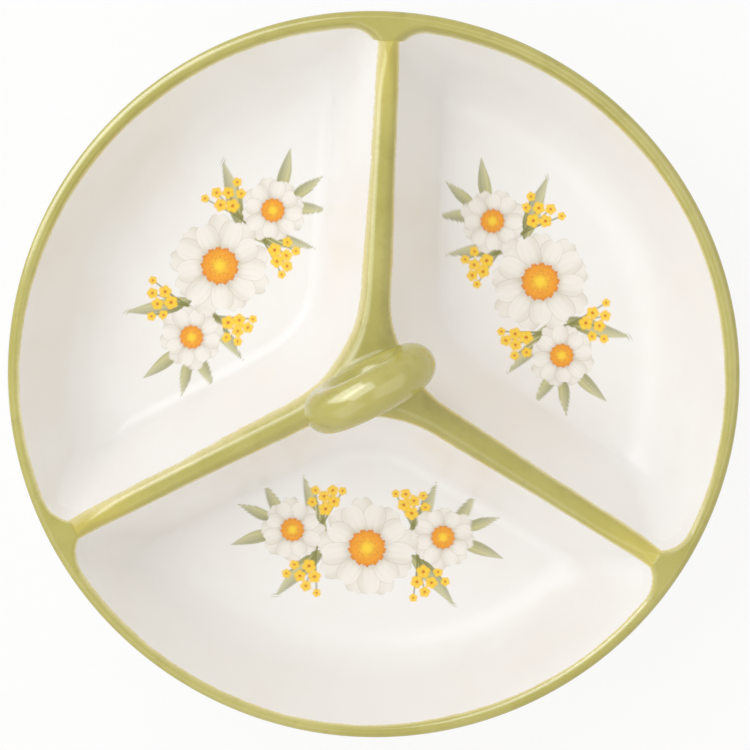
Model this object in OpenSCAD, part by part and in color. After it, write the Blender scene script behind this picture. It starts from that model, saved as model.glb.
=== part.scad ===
// Divided serving bowl: a round glazed dish with three wells, a rounded lip,
// three hollow dividing walls with crests, and a finger ring on the hub.
// Millimetres, +Z up, origin on the table under the middle of the dish.

/* [Dish] */
// Diameter over the lip
rim_d = 260; // [200:1:320]
// Height of the lip above the table
dish_h = 46; // [36:0.5:60]
// Thickness of the wall and the dividers
wall_t = 5; // [3.5:0.1:6]
// Thickness of the floors
floor_t = 5.5; // [4:0.1:8]
// Slope of the wall and of the dividers' sides, from level
wall_slope = 62; // [52:1:72]
// Fillet between the floors and the walls
floor_fillet_r = 16; // [8:0.5:20]

/* [Wells] */
// Corner of a well towards the hub, where the colour starts
inner_corner_r = 50; // [36:0.5:60]
// Corners of a well at the wall
outer_corner_r = 9; // [5:0.5:14]

/* [Lip and crests] */
// Height of the coloured lip, down to the seam with the white body
lip_h = 6.5; // [5:0.1:10]
// Width of a divider at the seam, at its wall end
crest_w = 8; // [6:0.1:12]
// Angle at which each side of a divider spreads towards the hub
spread_angle = 1; // [0:0.1:2]
// How far a crest lies under the lip before it meets the wall
crest_drop = 3.5; // [1:0.1:4.5]
// How far the hub stands over the lip
hub_rise = 0.5; // [0:0.1:4]

/* [Ring handle] */
// Outside diameter of the ring
ring_d = 50; // [40:0.5:64]
// Thickness of the ring
ring_tube_d = 16; // [10:0.5:18]
// Depth to which the ring is let into the hub
ring_sink = 5; // [3:0.1:6]

/* [Foot] */
// Height of the foot
foot_h = 3; // [2:0.1:6]
// Width of the foot
foot_w = 5; // [3:0.1:8]
// Distance from the floor's edge to the foot's outer edge
foot_margin = 6; // [2:0.5:15]

/* [Hidden] */

// Colours
white_glaze = [0.95, 0.93, 0.90];
green_glaze = [0.74, 0.71, 0.42];
bare_clay = [0.90, 0.86, 0.79];

// Directions of the three dividers and of the three wells
back_dir = 60;
left_dir = 180;
right_dir = 300;
well_dirs = [0, 120, 240];
well_half = 180 / len(well_dirs);

// Steps along the curves
fillet_steps = 6;
outer_arc_steps = 24;
inner_corner_steps = 10;
outer_corner_steps = 6;
crest_steps = 6;
turn_steps = 96;

// Joint of slip between the ring and the hub, and the overrun of every cut
slip_gap = 0.15;
overrun = 1;

// Length of straight divider that stays with the shell in front of each corner
stub = 3;
// Share of the lip's width by which the round wall reaches in behind the wells' faces
lap_share = 0.3;
// Floor that stays on a divider's piece beside its foot
foot_seam = 2;
// Radius at which the hub ends and the dividers start
hub_seam_r = (inner_corner_r + crest_w / 2) / tan(well_half) + wall_t;
// Share of a well's angle under which its foot runs, and the bevel on the foot's edges
foot_span_share = 0.42;
foot_edge = 0.8;
// Solid boss under the hub, which carries the ring
boss_r = 20;
boss_h = 9;

// Widest crest share of a section first, then up to the flat on the ridge
crest_shares = [1, 0.86, 0.7, 0.52, 0.32, 0.12];

// Heights
floor_z = foot_h + floor_t;
seam_z = dish_h - lip_h;
lip_w = wall_t / sin(wall_slope);
lip_mid_z = dish_h - lip_w / 2;
hub_h = lip_h + hub_rise;
crest_end_h = lip_h - crest_drop;

// Radii of the wall's inside: at the lip, at the seam and at the floor
lip_in_r = rim_d / 2 - lip_w;
seam_in_r = lip_in_r - (lip_mid_z - seam_z) / tan(wall_slope);
fillet_top = floor_fillet_r * (1 - cos(wall_slope));
wall_run = floor_fillet_r * sin(wall_slope) + (seam_z - floor_z - fillet_top) / tan(wall_slope);
floor_in_r = seam_in_r - wall_run;

// Half of a divider at the seam, measured from the line that its side follows
side_half = well_half + spread_angle;
side_off = crest_w / 2 + seam_in_r * sin(spread_angle);

// Ring handle
ring_r = (ring_d - ring_tube_d) / 2;
ring_z = seam_z + hub_h - ring_sink + ring_d / 2;

// Centre of the corner between a divider and the wall, along the divider and beside it, where the wall's
// inside is at outer_r and the divider's side runs off millimetres inside its line
function corner(outer_r, off) =
    let (reach = outer_r - outer_corner_r,
         turn = asin((off + outer_corner_r) / reach) - spread_angle)
    [reach * cos(turn), reach * sin(turn)];
corner_x = corner(seam_in_r, side_off)[0];
corner_y = corner(seam_in_r, side_off)[1];
floor_corner_x = corner(floor_in_r, side_off + wall_run)[0];
// Height over the seam to which a crest rises at the lip, and the share of the corner before it does
gusset_h = lip_h - lip_w / 6;
gusset_share = 0.85;

// Half width of a divider's piece on the floor
strip_half = side_off + wall_run + foot_seam;

// Points of an arc round (x, y) from one direction to another
function arc(x, y, r, from, to, steps) =
    [for (i = [0:steps]) let (a = from + (to - from) * i / steps) [x + r * cos(a), y + r * sin(a)]];

// A list without its first item, and without its first and last
function tail(list) = [for (i = [1:len(list) - 1]) list[i]];
function middle(list) = [for (i = [1:len(list) - 2]) list[i]];

// Plan of a well that opens along +X: its sides run off millimetres inside the lines at half degrees,
// with a round corner towards the hub, an outer arc and two corners at the wall
function well_plan(off, half, outer_r, in_r, out_r) =
    let (apex = (off + in_r) / sin(half),
         reach = outer_r - out_r,
         turn = half - asin((off + out_r) / reach),
         x = reach * cos(turn),
         y = reach * sin(turn))
    concat(arc(0, 0, outer_r, -turn, turn, outer_arc_steps),
           tail(arc(x, y, out_r, turn, 90 + half, outer_corner_steps)),
           arc(apex, 0, in_r, 90 + half, 270 - half, inner_corner_steps),
           arc(x, -y, out_r, 270 - half, 360 - turn, outer_corner_steps));

// The wall's section from the floor's edge up to height top, as steps of [run, rise, angle]
function wall_steps(top) = concat(
    [for (i = [0:fillet_steps]) let (a = wall_slope * i / fillet_steps)
        [floor_fillet_r * sin(a), floor_fillet_r * (1 - cos(a)), a]],
    [[wall_run + (top - seam_z) / tan(wall_slope), top - floor_z, wall_slope]]);

// One level of a well, thick millimetres outside its inner face. Its outer arc grows by less, so that it
// ends inside the wall.
function well_ring(step, thick) =
    let (grow = thick * sin(step[2]),
         inset = wall_run - step[0],
         under = step[2] == 0 ? floor_t / wall_t : cos(step[2]),
         z = floor_z + step[1] - thick * under,
         plan = well_plan(side_off + inset - grow, side_half, floor_in_r + step[0] + grow / 2 - thick / 4,
                          inner_corner_r - inset + grow, outer_corner_r + grow))
    [for (p = middle(concat([[0, 0]], plan))) [p[0], p[1], z]];

// Height of a crest over the seam at distance r from the middle of the dish: down from the hub to the
// wall corner, then up to the lip at the corner's end
function ease(t) = let (s = min(max(t, 0), 1)) s * s * (3 - 2 * s);
function crest_height(r) =
    hub_h + (crest_end_h - hub_h) * min(r / corner_x, 1)
    + (gusset_h - crest_end_h) * ease(((r - corner_x) / outer_corner_r - gusset_share) / (1 - gusset_share));

// Closed solid through a list of rings with as many points each, lowest first
module loft(rings) {
    n = len(rings[0]);
    last = (len(rings) - 1) * n;
    polyhedron(
        points = [for (ring = rings) each ring],
        faces = concat(
            [[for (i = [0:n - 1]) i]],
            [[for (i = [n - 1:-1:0]) last + i]],
            [for (j = [0:len(rings) - 2], i = [0:n - 1])
                let (a = j * n + i, b = j * n + (i + 1) % n) each [[a, a + n, b + n], [a, b + n, b]]]));
}

// The space of one well, or the body round it, as a stack of convex slices
module well(dir, thick) {
    steps = wall_steps(seam_z + thick + overrun);
    rotate(dir)
        for (i = [0:len(steps) - 2])
            hull()
                loft([well_ring(steps[i], thick), well_ring(steps[i + 1], thick)]);
}

// The round wall, with a little more inside that the wells cut away
module wall_ring() {
    steps = wall_steps(seam_z + wall_t + overrun);
    outer = [for (s = steps)
        [floor_in_r + s[0] + wall_t * sin(s[2]), floor_z + s[1] - wall_t * cos(s[2])]];
    inner = [for (i = [len(steps) - 1:-1:0])
        [floor_in_r + steps[i][0] - lap_share * lip_w, floor_z + steps[i][1]]];
    rotate_extrude($fn = turn_steps)
        polygon(concat([[floor_in_r - lap_share * lip_w, floor_z - wall_t]], outer, inner));
}

// Block over a divider's strip of the plan, from its side view as points of [distance, height]
module strip(dir, view) {
    rotate([90, 0, dir])
        linear_extrude(2 * strip_half, center = true)
            polygon(view);
}

// Side view of a divider that starts at distance from: its far end leans with the wall
function divider_view(from) =
    let (foot_x = floor_corner_x - stub,
         lean = (corner_x - floor_corner_x) / (seam_z - floor_z))
    [[from, 0], [foot_x, 0], [foot_x, floor_z], [foot_x + lean * (dish_h - floor_z), dish_h],
     [from, dish_h]];

// The hub's star of three short strips
module hub_star() {
    for (dir = [back_dir, left_dir, right_dir])
        strip(dir, [[0, 0], [hub_seam_r, 0], [hub_seam_r, dish_h], [0, dish_h]]);
}

// The white body in one, up to the seam under the lip and the crests. A roof closes the hollow dividers.
module white_body() {
    intersection() {
        difference() {
            union() {
                for (dir = well_dirs)
                    well(dir, wall_t);
                wall_ring();
                translate([0, 0, seam_z - wall_t])
                    cylinder(r = seam_in_r, h = wall_t + overrun);
                translate([0, 0, seam_z - boss_h])
                    cylinder(r = boss_r, h = boss_h + overrun);
            }
            for (dir = well_dirs)
                well(dir, 0);
        }
        cylinder(r = rim_d, h = seam_z);
    }
}

// Round wall, floors and the wall ends of the dividers
module bowl_shell() {
    color(white_glaze)
        difference() {
            white_body();
            hub_star();
            for (dir = [back_dir, left_dir, right_dir])
                strip(dir, divider_view(hub_seam_r - overrun));
        }
}

// Hollow middle where the dividers meet, with the boss under the ring
module hub_core() {
    color(white_glaze)
        intersection() {
            white_body();
            hub_star();
        }
}

// Hollow dividing wall from the hub to its stub
module divider(dir) {
    color(white_glaze)
        intersection() {
            white_body();
            strip(dir, divider_view(hub_seam_r));
        }
}

// Rounded lip on the wall
module rim_lip() {
    color(green_glaze)
        rotate_extrude($fn = turn_steps) {
            polygon([[seam_in_r, seam_z], [seam_in_r + lip_w, seam_z],
                     [rim_d / 2, lip_mid_z], [lip_in_r, lip_mid_z]]);
            translate([rim_d / 2 - lip_w / 2, lip_mid_z])
                circle(d = lip_w);
        }
}

// Section of a crest at distance r, half millimetres wide each way, as a ring in the crest's own plane
function crest_section(r, half, power) =
    let (h = crest_height(r),
         side = [for (s = crest_shares) [s * half, h * (1 - pow(s, power))]])
    concat([for (p = side) [p[0], p[1], r]],
           [for (i = [len(side) - 1:-1:0]) [-side[i][0], side[i][1], r]]);

// Crest on a divider, spreading into the wall corners and cut to the lip
module crest(dir) {
    straight = [for (i = [0:crest_steps])
        let (r = hub_seam_r + (corner_x - hub_seam_r) * i / crest_steps)
        crest_section(r, (side_off - r * sin(spread_angle)) / cos(spread_angle), 2)];
    spread = [for (i = [1:outer_corner_steps])
        let (t = i / outer_corner_steps,
             a = (90 + spread_angle) * (t - 1))
        crest_section(corner_x + outer_corner_r * cos(a), corner_y + outer_corner_r * sin(a),
                      2 + 2 * t)];
    end = [crest_section(rim_d / 2 - lip_w / 2, corner_y, 4)];
    color(green_glaze)
        difference() {
            translate([0, 0, seam_z])
                rotate([90, 0, 90 + dir])
                    loft(concat(straight, spread, end));
            rim_lip();
        }
}

// Space of a well over the seam beside the hub, curving in to the hub's flat top
module hub_flank(dir) {
    levels = [for (s = crest_shares)
        let (taper = atan(s * tan(spread_angle)),
             off = s * side_off * cos(taper) / cos(spread_angle),
             half = well_half + taper,
             in_r = inner_corner_r + side_off - off,
             far = 2 * hub_seam_r,
             end = [far * cos(half) + off * sin(half), far * sin(half) - off * cos(half)],
             plan = concat([end], arc((off + in_r) / sin(half), 0, in_r, 90 + half, 270 - half,
                                      inner_corner_steps), [[end[0], -end[1]], [2 * far, 0]]))
        [for (p = plan)
            let (r = p[0] * cos(well_half) + abs(p[1]) * sin(well_half))
            [p[0], p[1], seam_z + crest_height(r) * (1 - s * s)]]];
    top = levels[len(levels) - 1];
    rotate(dir)
        loft(concat([[for (p = levels[0]) [p[0], p[1], seam_z - overrun]]], levels,
                    [[for (p = top) [p[0], p[1], seam_z + hub_h + overrun]]]));
}

// Coloured hub on which the crests meet and the ring stands
module hub_cap() {
    ridge_share = 1 - pow(crest_shares[len(crest_shares) - 1], 2);
    color(green_glaze)
        difference() {
            intersection() {
                rotate_extrude($fn = turn_steps)
                    polygon([[0, seam_z], [2 * hub_seam_r, seam_z],
                             [2 * hub_seam_r, seam_z + ridge_share * crest_height(2 * hub_seam_r)],
                             [0, seam_z + ridge_share * hub_h]]);
                translate([0, 0, overrun])
                    hub_star();
            }
            for (dir = well_dirs)
                hub_flank(dir);
            ring(slip_gap);
        }
}

// Upright ring through which a finger goes, gap millimetres thicker all round
module ring(gap) {
    translate([0, 0, ring_z])
        rotate([90, 0, 0])
            rotate_extrude($fn = turn_steps)
                translate([ring_r, 0])
                    circle(r = ring_tube_d / 2 + gap);
}

module ring_handle() {
    color(green_glaze)
        ring(0);
}

// Unglazed foot under one well
module foot(dir) {
    outer_r = floor_in_r - foot_margin;
    inner_r = outer_r - foot_w;
    half = well_half * foot_span_share;
    color(bare_clay)
        rotate(dir - half)
            rotate_extrude(angle = 2 * half, $fn = turn_steps)
                polygon([[inner_r, foot_h], [inner_r, foot_edge], [inner_r + foot_edge, 0],
                         [outer_r - foot_edge, 0], [outer_r, foot_edge], [outer_r, foot_h]]);
}

bowl_shell();
hub_core();
divider(back_dir);  // divider_back
divider(left_dir);  // divider_left
divider(right_dir);  // divider_right
rim_lip();
crest(back_dir);  // crest_back
crest(left_dir);  // crest_left
crest(right_dir);  // crest_right
hub_cap();
ring_handle();
foot(well_dirs[0]);  // foot_right
foot(well_dirs[1]);  // foot_left
foot(well_dirs[2]);  // foot_front
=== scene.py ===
import math

import bpy
import numpy as np
from bpy.props import FloatProperty, FloatVectorProperty, PointerProperty
from bpy.types import Operator, Panel, PropertyGroup
from mathutils import Matrix, Vector


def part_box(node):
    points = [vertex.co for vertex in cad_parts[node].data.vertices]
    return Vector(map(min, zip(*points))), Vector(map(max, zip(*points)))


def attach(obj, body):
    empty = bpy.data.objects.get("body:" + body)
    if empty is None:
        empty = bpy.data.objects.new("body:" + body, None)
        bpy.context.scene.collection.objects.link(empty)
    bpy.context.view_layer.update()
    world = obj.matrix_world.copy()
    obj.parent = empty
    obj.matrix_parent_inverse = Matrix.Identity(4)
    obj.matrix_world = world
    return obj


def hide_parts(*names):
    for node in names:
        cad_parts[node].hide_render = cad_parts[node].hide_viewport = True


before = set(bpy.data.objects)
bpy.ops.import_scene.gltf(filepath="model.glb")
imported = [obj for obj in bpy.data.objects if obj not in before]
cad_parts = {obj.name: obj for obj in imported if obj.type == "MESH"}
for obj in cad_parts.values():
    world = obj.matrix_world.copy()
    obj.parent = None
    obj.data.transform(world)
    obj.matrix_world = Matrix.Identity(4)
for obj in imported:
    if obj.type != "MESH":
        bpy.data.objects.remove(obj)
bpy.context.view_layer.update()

bl_info = {
    "name": "Divided serving bowl",
    "version": (1, 0, 0),
    "blender": (4, 5, 0),
    "location": "3D View > Sidebar > Bowl",
    "description": "Glazed dish with three wells, coloured lip and crests, and a finger ring",
    "category": "Object",
}

MM = 0.001
RIM_LOW, RIM_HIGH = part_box("rim_lip")
RING_LOW, RING_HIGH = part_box("ring_handle")
DIVIDER_ANGLES = {"back": 60.0, "left": 180.0, "right": 300.0}
WELL_ANGLES = {"right": 0.0, "left": 120.0, "front": 240.0}
WELL_REPLACES = {"right": "divider_right", "left": "divider_back", "front": "divider_left"}


# Sizes and colours that a user would change

def length(name, description, default):
    """A length property in metres."""
    return FloatProperty(name=name, description=description, default=default, min=0.0, unit="LENGTH", precision=4)


def angle(name, description, degrees):
    """An angle property, given in degrees and kept in radians."""
    return FloatProperty(name=name, description=description, default=math.radians(degrees), unit="ROTATION")


def number(name, description, default):
    """A plain number property."""
    return FloatProperty(name=name, description=description, default=default)


def colour(name, description, red, green, blue):
    """A colour property, given as display values and kept as linear ones."""
    linear = [c / 12.92 if c <= 0.04045 else ((c + 0.055) / 1.055) ** 2.4 for c in (red, green, blue)]
    return FloatVectorProperty(name=name, description=description, default=linear, size=3, min=0.0, max=1.0,
                               subtype="COLOR")


class BowlSizes(PropertyGroup):
    rim_d: length("Rim diameter", "Diameter over the lip", RIM_HIGH[0] - RIM_LOW[0])
    dish_h: length("Dish height", "Height of the lip above the table", RIM_HIGH[2])
    lip_h: length("Lip height", "Height of the lip over its seam", RIM_HIGH[2] - RIM_LOW[2])
    wall_t: length("Wall thickness", "Thickness of the wall and the dividers", 0.005)
    floor_t: length("Floor thickness", "Thickness of the floors", 0.0055)
    wall_slope: angle("Wall slope", "Slope of the wall and the dividers' sides, from level", 62.0)
    floor_fillet_r: length("Floor fillet", "Fillet under the floors and the walls", 0.016)
    side_fillet_r: length("Divider fillet", "Fillet between a floor and the dividers' sides", 0.007)
    wall_fillet_r: length("Wall fillet", "Fillet between a floor and the round wall", 0.024)
    inner_corner_r: length("Hub corner", "Radius of a well's corner towards the hub", 0.050)
    outer_corner_r: length("Wall corner", "Radius of a well's corners at the wall", 0.009)
    crest_w: length("Crest width", "Width of a divider at its wall end", 0.008)
    spread_angle: angle("Spread", "Angle at which a divider's sides spread towards the hub", 1.0)
    crest_drop: length("Crest drop", "How far a crest lies under the lip at the wall", 0.0035)
    hub_rise: length("Hub rise", "How far the hub stands over the lip", 0.0005)
    ring_d: length("Ring diameter", "Outside diameter of the ring", RING_HIGH[0] - RING_LOW[0])
    ring_tube_d: length("Ring thickness", "Thickness of the ring", RING_HIGH[1] - RING_LOW[1])
    ring_base: length("Ring base", "Height of the ring's lowest point, sunk in the hub", RING_LOW[2])
    ring_tall: length("Ring height", "Height of the ring", RING_HIGH[2] - RING_LOW[2])
    ring_lean: angle("Ring lean", "Lean of the ring to one side, as it was set on by hand", 1.0)
    boss_r: length("Boss radius", "Radius of the boss under the hub", 0.020)
    boss_h: length("Boss depth", "Depth of the boss under the seam", 0.009)
    foot_h: length("Foot height", "Height of the feet", 0.003)
    foot_w: length("Foot width", "Width of the feet", 0.005)
    foot_margin: length("Foot margin", "Distance from the floor's edge to the foot", 0.006)
    foot_half: angle("Foot half span", "Half of the angle over which a foot runs", 25.2)


class BowlColours(PropertyGroup):
    white: colour("White glaze", "Glaze of the wells and the wall", 0.952, 0.950, 0.946)
    white_warm: colour("White glaze, thick", "Glaze where it lies thicker", 0.930, 0.912, 0.888)
    green: colour("Green glaze", "Glaze of the lip, the crests and the ring", 0.690, 0.664, 0.305)
    green_light: colour("Green glaze, thin", "Green glaze where it lies thin", 0.775, 0.748, 0.440)
    # Besides darker veins in the glaze, this colour is the painted shade round the ring's foot.
    green_dark: colour("Green glaze, thick", "Green glaze where it pools", 0.570, 0.543, 0.225)
    # Painted light: the lighter, yellower tone laid on the crests before their ends.
    green_warm: colour("Green glaze, warm", "Green glaze where it lies thin and yellow", 0.800, 0.750, 0.330)
    green_edge: colour("Green glaze, edge", "Green glaze where it runs out on the white", 0.930, 0.890, 0.680)
    clay: colour("Bare clay", "Unglazed clay of the feet", 0.900, 0.860, 0.790)
    clay_dark: colour("Bare clay, dark", "Specks in the clay", 0.760, 0.700, 0.610)
    petal: colour("Petal", "Printed petals", 0.955, 0.942, 0.920)
    petal_shade: colour("Petal shade", "Shade on the printed petals", 0.790, 0.765, 0.690)
    petal_line: colour("Petal outline", "Outline of the printed petals", 0.690, 0.640, 0.550)
    heart: colour("Flower heart", "Middle of the printed flowers", 0.965, 0.660, 0.130)
    heart_dark: colour("Flower heart, dark", "Dark grain of the flowers' middle", 0.800, 0.380, 0.070)
    leaf: colour("Leaf", "Printed leaves", 0.750, 0.735, 0.430)
    leaf_dark: colour("Leaf, dark", "Dark side of the printed leaves", 0.490, 0.490, 0.220)
    floret: colour("Floret", "Small printed flowers", 0.985, 0.835, 0.200)


class BowlStage(PropertyGroup):
    camera_distance: length("Camera distance", "Distance from the camera to the dish", 1.6)
    camera_tilt: angle("Camera tilt", "Angle of the camera from straight above", 7.43)
    camera_side: angle("Camera side", "Direction in which the camera leans", 49.3)
    camera_up: angle("Picture's up", "Direction on the table that is up in the picture", 62.67)
    camera_lens: number("Lens", "Focal length of the camera in millimetres", 216.1)
    aim_x: number("Aim X", "Point that the camera aims at, along X, in metres", 0.00083)
    aim_y: number("Aim Y", "Point that the camera aims at, along Y, in metres", 0.00016)
    key_power: number("Key light", "Power of the main light in watts", 8.3)
    fill_power: number("Fill light", "Power of the second light in watts", 4.2)
    gleam_power: number("Gleam", "Power of the panels that only the green glaze reflects, in watts", 6.5)
    sky: number("Sky", "Strength of the light from all round", 0.74)


# The dish's shape as functions, in millimetres

ANGLES = ("wall_slope", "spread_angle", "ring_lean", "foot_half")


class Dish:
    """Sizes in millimetres that follow from the sizes of BowlSizes."""

    def __init__(self, sizes):
        for key in BowlSizes.__annotations__:
            value = getattr(sizes, key)
            setattr(self, key, value if key in ANGLES else value / MM)
        self.slope_tan = math.tan(self.wall_slope)
        self.floor_z = self.foot_h + self.floor_t
        self.seam_z = self.dish_h - self.lip_h
        self.lip_w = self.wall_t / math.sin(self.wall_slope)
        self.bead_r = self.wall_t / 2
        lip_mid_z = self.dish_h - self.lip_w / 2
        self.seam_in_r = self.rim_d / 2 - self.lip_w - (lip_mid_z - self.seam_z) / self.slope_tan
        self.well_h = self.seam_z - self.floor_z
        self.floor_in_r = self.seam_in_r - wall_profile(self, self.floor_fillet_r, 1, 1)[0][0]
        self.side_half = math.radians(60) + self.spread_angle
        self.side_off = self.crest_w / 2 + self.seam_in_r * math.sin(self.spread_angle)
        self.hub_h = self.lip_h + self.hub_rise
        self.crest_end_h = self.lip_h - self.crest_drop
        reach = self.seam_in_r - self.outer_corner_r
        turn = math.asin((self.side_off + self.outer_corner_r) / reach) - self.spread_angle
        self.corner_turn = turn
        self.corner_x = reach * math.cos(turn)
        self.corner_y = reach * math.sin(turn)
        self.ring_r = (self.ring_d - self.ring_tube_d) / 2
        self.ring_v = (self.ring_tall - self.ring_tube_d) / 2
        self.ring_z = self.ring_base + self.ring_tall / 2
        # Middle of the lip's round top
        self.bead_z = self.dish_h - self.bead_r
        self.bead_x = self.seam_in_r + self.lip_w / 2 + (self.bead_z - self.seam_z) / self.slope_tan


def smooth(t):
    """Eases from 0 to 1: 3t^2 - 2t^3 with t held between 0 and 1."""
    t = np.clip(t, 0.0, 1.0)
    return t * t * (3 - 2 * t)


def turned(points, degrees):
    """Points turned about the dish's axis."""
    a = math.radians(degrees)
    c, s = math.cos(a), math.sin(a)
    out = points.copy()
    out[..., 0] = c * points[..., 0] - s * points[..., 1]
    out[..., 1] = s * points[..., 0] + c * points[..., 1]
    return out


def from_third(a):
    """Angles measured from the nearest third of a turn."""
    third = 2 * math.pi / 3
    return a - third * np.round(a / third)


def arc(x, y, r, start, end, count):
    """count points of an arc round (x, y), without its end. Every value may be a column over levels."""
    a = start + (end - start) * np.arange(count) / count
    return np.stack([x + r * np.cos(a), y + r * np.sin(a)], axis=-1)


WELL_COUNTS = (150, 50, 80, 70)


def well_plan(off, half, outer_r, in_r, out_r):
    """Plan of a well that opens along +X, one row of points per level: an outer arc round the dish's axis,
    a round corner at each end of it, a straight side that runs off inside the line at the angle half, and a
    round corner towards the hub."""
    off, outer_r, in_r, out_r = (np.asarray(v, dtype=float).reshape(-1, 1) for v in (off, outer_r, in_r, out_r))
    outer_n, corner_n, side_n, inner_n = WELL_COUNTS
    apex = (off + in_r) / math.sin(half)
    reach = outer_r - out_r
    turn = half - np.arcsin((off + out_r) / reach)
    x, y = reach * np.cos(turn), reach * np.sin(turn)
    up, down = math.pi / 2 + half, 3 * math.pi / 2 - half
    share = np.arange(side_n)[None, :, None] / side_n

    def side(a, flip):
        start = np.stack([x + out_r * math.cos(a), flip * y + out_r * math.sin(a)], axis=-1)
        end = np.stack([apex + in_r * math.cos(a), 0 * apex + in_r * math.sin(a)], axis=-1)
        return (start, end) if flip > 0 else (end, start)

    first, second = side(up, 1), side(down, -1)
    return np.concatenate([
        arc(0, 0, outer_r, -turn, turn, outer_n),
        arc(x, y, out_r, turn, up, corner_n),
        first[0] + (first[1] - first[0]) * share,
        arc(apex, 0 * apex, in_r, up, down, inner_n),
        second[0] + (second[1] - second[0]) * share,
        arc(x, -y, out_r, down, 2 * math.pi - turn, corner_n)], axis=1)


def wall_profile(dish, radius, fillet_steps, slope_steps):
    """A wall's inside from the floor's edge to the seam, as inset from the seam, rise and angle: a fillet of the
    radius up to the wall's slope, then a straight line."""
    a = np.linspace(0, dish.wall_slope, fillet_steps + 1)
    run, rise = radius * np.sin(a), radius * (1 - np.cos(a))
    t = np.arange(1, slope_steps + 1) / slope_steps
    rest = dish.well_h - rise[-1]
    run = np.concatenate([run, run[-1] + rest / dish.slope_tan * t])
    rise = np.concatenate([rise, rise[-1] + rest * t])
    return run[-1] - run, rise, np.concatenate([a, np.full(slope_steps, dish.wall_slope)])


def well_distance(dish, x, y, off, outer_r, in_r, out_r):
    """Distance from points to the edge of the nearest well's plan, positive outside the wells: the larger of the
    distances to the side's line and to the outer arc, or the distance to the circle of the corner between them
    or of the corner towards the hub."""
    a = np.abs(from_third(np.arctan2(y, x)))
    r = np.hypot(x, y)
    px, py = r * np.cos(a), r * np.sin(a)
    half = dish.side_half
    side = off - (px * math.sin(half) - py * math.cos(half))
    apex = (off + in_r) / math.sin(half)
    before = (px - apex) * math.cos(half) + py * math.sin(half) < 0
    side = np.where(before, np.hypot(px - apex, py) - in_r, side)
    reach = outer_r - out_r
    turn = half - np.arcsin((off + out_r) / reach)
    dx, dy = px - reach * np.cos(turn), py - reach * np.sin(turn)
    corner = (dx * math.cos(half) + dy * math.sin(half) > 0) & (dy * np.cos(turn) > dx * np.sin(turn))
    return np.where(corner, np.hypot(dx, dy) - out_r, np.maximum(side, r - outer_r))


def land_gap(dish, x, y, inset=0.0):
    """Distance from points to the nearest well's edge at the seam, or where its plan is inset."""
    return well_distance(dish, x, y, dish.side_off + inset, dish.seam_in_r - inset, dish.inner_corner_r - inset,
                         dish.outer_corner_r)


def land_reach(dish, turn, limit, inset, margin):
    """How far rays from the axis go, at most to limit, before they come within margin of a well whose plan is
    inset. It halves the interval in which the distance to the well falls below margin."""
    low, high = np.zeros_like(limit), limit.copy()
    for _ in range(40):
        mid = (low + high) / 2
        land = land_gap(dish, mid * np.cos(turn), mid * np.sin(turn), inset) > margin
        low, high = np.where(land, mid, low), np.where(land, high, mid)
    return low


def lip_height(dish, d):
    """Height of the lip over the seam at distance d from the wells' edge: the wall's slope, then a round bead
    that is tangent to it, then level."""
    ridge = dish.bead_x - dish.seam_in_r
    flank = ridge - dish.bead_r * math.sin(dish.wall_slope)
    top = dish.bead_z - dish.seam_z
    bead = top + np.sqrt(np.maximum(dish.bead_r ** 2 - (np.minimum(d, ridge) - ridge) ** 2, 0))
    return np.where(d < flank, d * dish.slope_tan, bead)


# End of a crest: place, length and height of its step up to the lip, the step's bow and half width, and the run over
# which the crest rises before it
GUSSET_X, GUSSET_RUN, GUSSET_STEP = 119.9, 0.8, 0.3
GUSSET_BOW, GUSSET_HALF, GUSSET_RISE = 0.6, 7.95, 24.0
# A crest's section: how round the ridge is, and how much steeper than the wall its foot is
RIDGE_ROUND, CREST_FULL = 2.0, 1.5


def divider_frame(x, y):
    """Coordinates along the nearest divider and beside its middle line."""
    a = from_third(np.arctan2(y, x) - math.pi / 3)
    r = np.hypot(x, y)
    return r * np.cos(a), r * np.sin(a)


def gusset_line(beside):
    """Where a crest ends and steps up to the lip, bowed towards the hub."""
    return GUSSET_X - GUSSET_BOW * np.maximum(1 - (beside / GUSSET_HALF) ** 2, 0)


def land_height(dish, x, y):
    """Height of the crests and the hub over the table at points of the plan. With d the distance to the nearest
    well, w the divider's half width and H its height over the seam, it is seam + H (1 - s^n), where s falls from
    1 at the foot to 0 at the ridge, rounded there, and n makes the foot a little steeper than the wall, but for the
    crests' ends. Before the wall H rises again, and at the wall the land steps up to the lip's own height."""
    along, beside = divider_frame(x, y)
    d = np.maximum(land_gap(dish, x, y), 0)
    apex = (dish.side_off + dish.inner_corner_r) / math.sin(dish.side_half)
    r = np.hypot(x, y)
    w = np.where(r < apex / 2, np.hypot(apex / 2 - r, apex * math.sin(math.pi / 3)) - dish.inner_corner_r,
                 dish.side_off - np.minimum(along, dish.corner_x) * math.sin(dish.spread_angle))
    high = dish.hub_h + (dish.crest_end_h - dish.hub_h) * np.minimum(along / dish.corner_x, 1)
    late = np.clip((along - GUSSET_X) / GUSSET_RISE + 1, 0, 1)
    high = high + (dish.lip_h - GUSSET_STEP - dish.crest_end_h) * late ** 2
    flat = math.hypot(1, RIDGE_ROUND)
    share = (np.hypot(np.clip(1 - d / w, 0, 1), RIDGE_ROUND) - RIDGE_ROUND) / (flat - RIDGE_ROUND)
    full = CREST_FULL + (1 - CREST_FULL) * smooth(1.4 * late)
    crest = high * (1 - share ** (full * dish.slope_tan * w / high * flat * (flat - RIDGE_ROUND)))
    step = smooth((along - gusset_line(beside)) / GUSSET_RUN)
    return dish.seam_z + crest + (lip_height(dish, d) - crest) * step


# Edge of the green: radius of the lip's band, and waves on it as height, number round the dish and phase
BAND_R = 124.75
BAND_WAVES = ((-0.75, 1, -math.radians(40)), (0.35, 2, -math.radians(300)), (0.16, 5, 0.6 - math.pi / 2),
              (0.10, 9, 2.1 - math.pi / 2))
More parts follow.
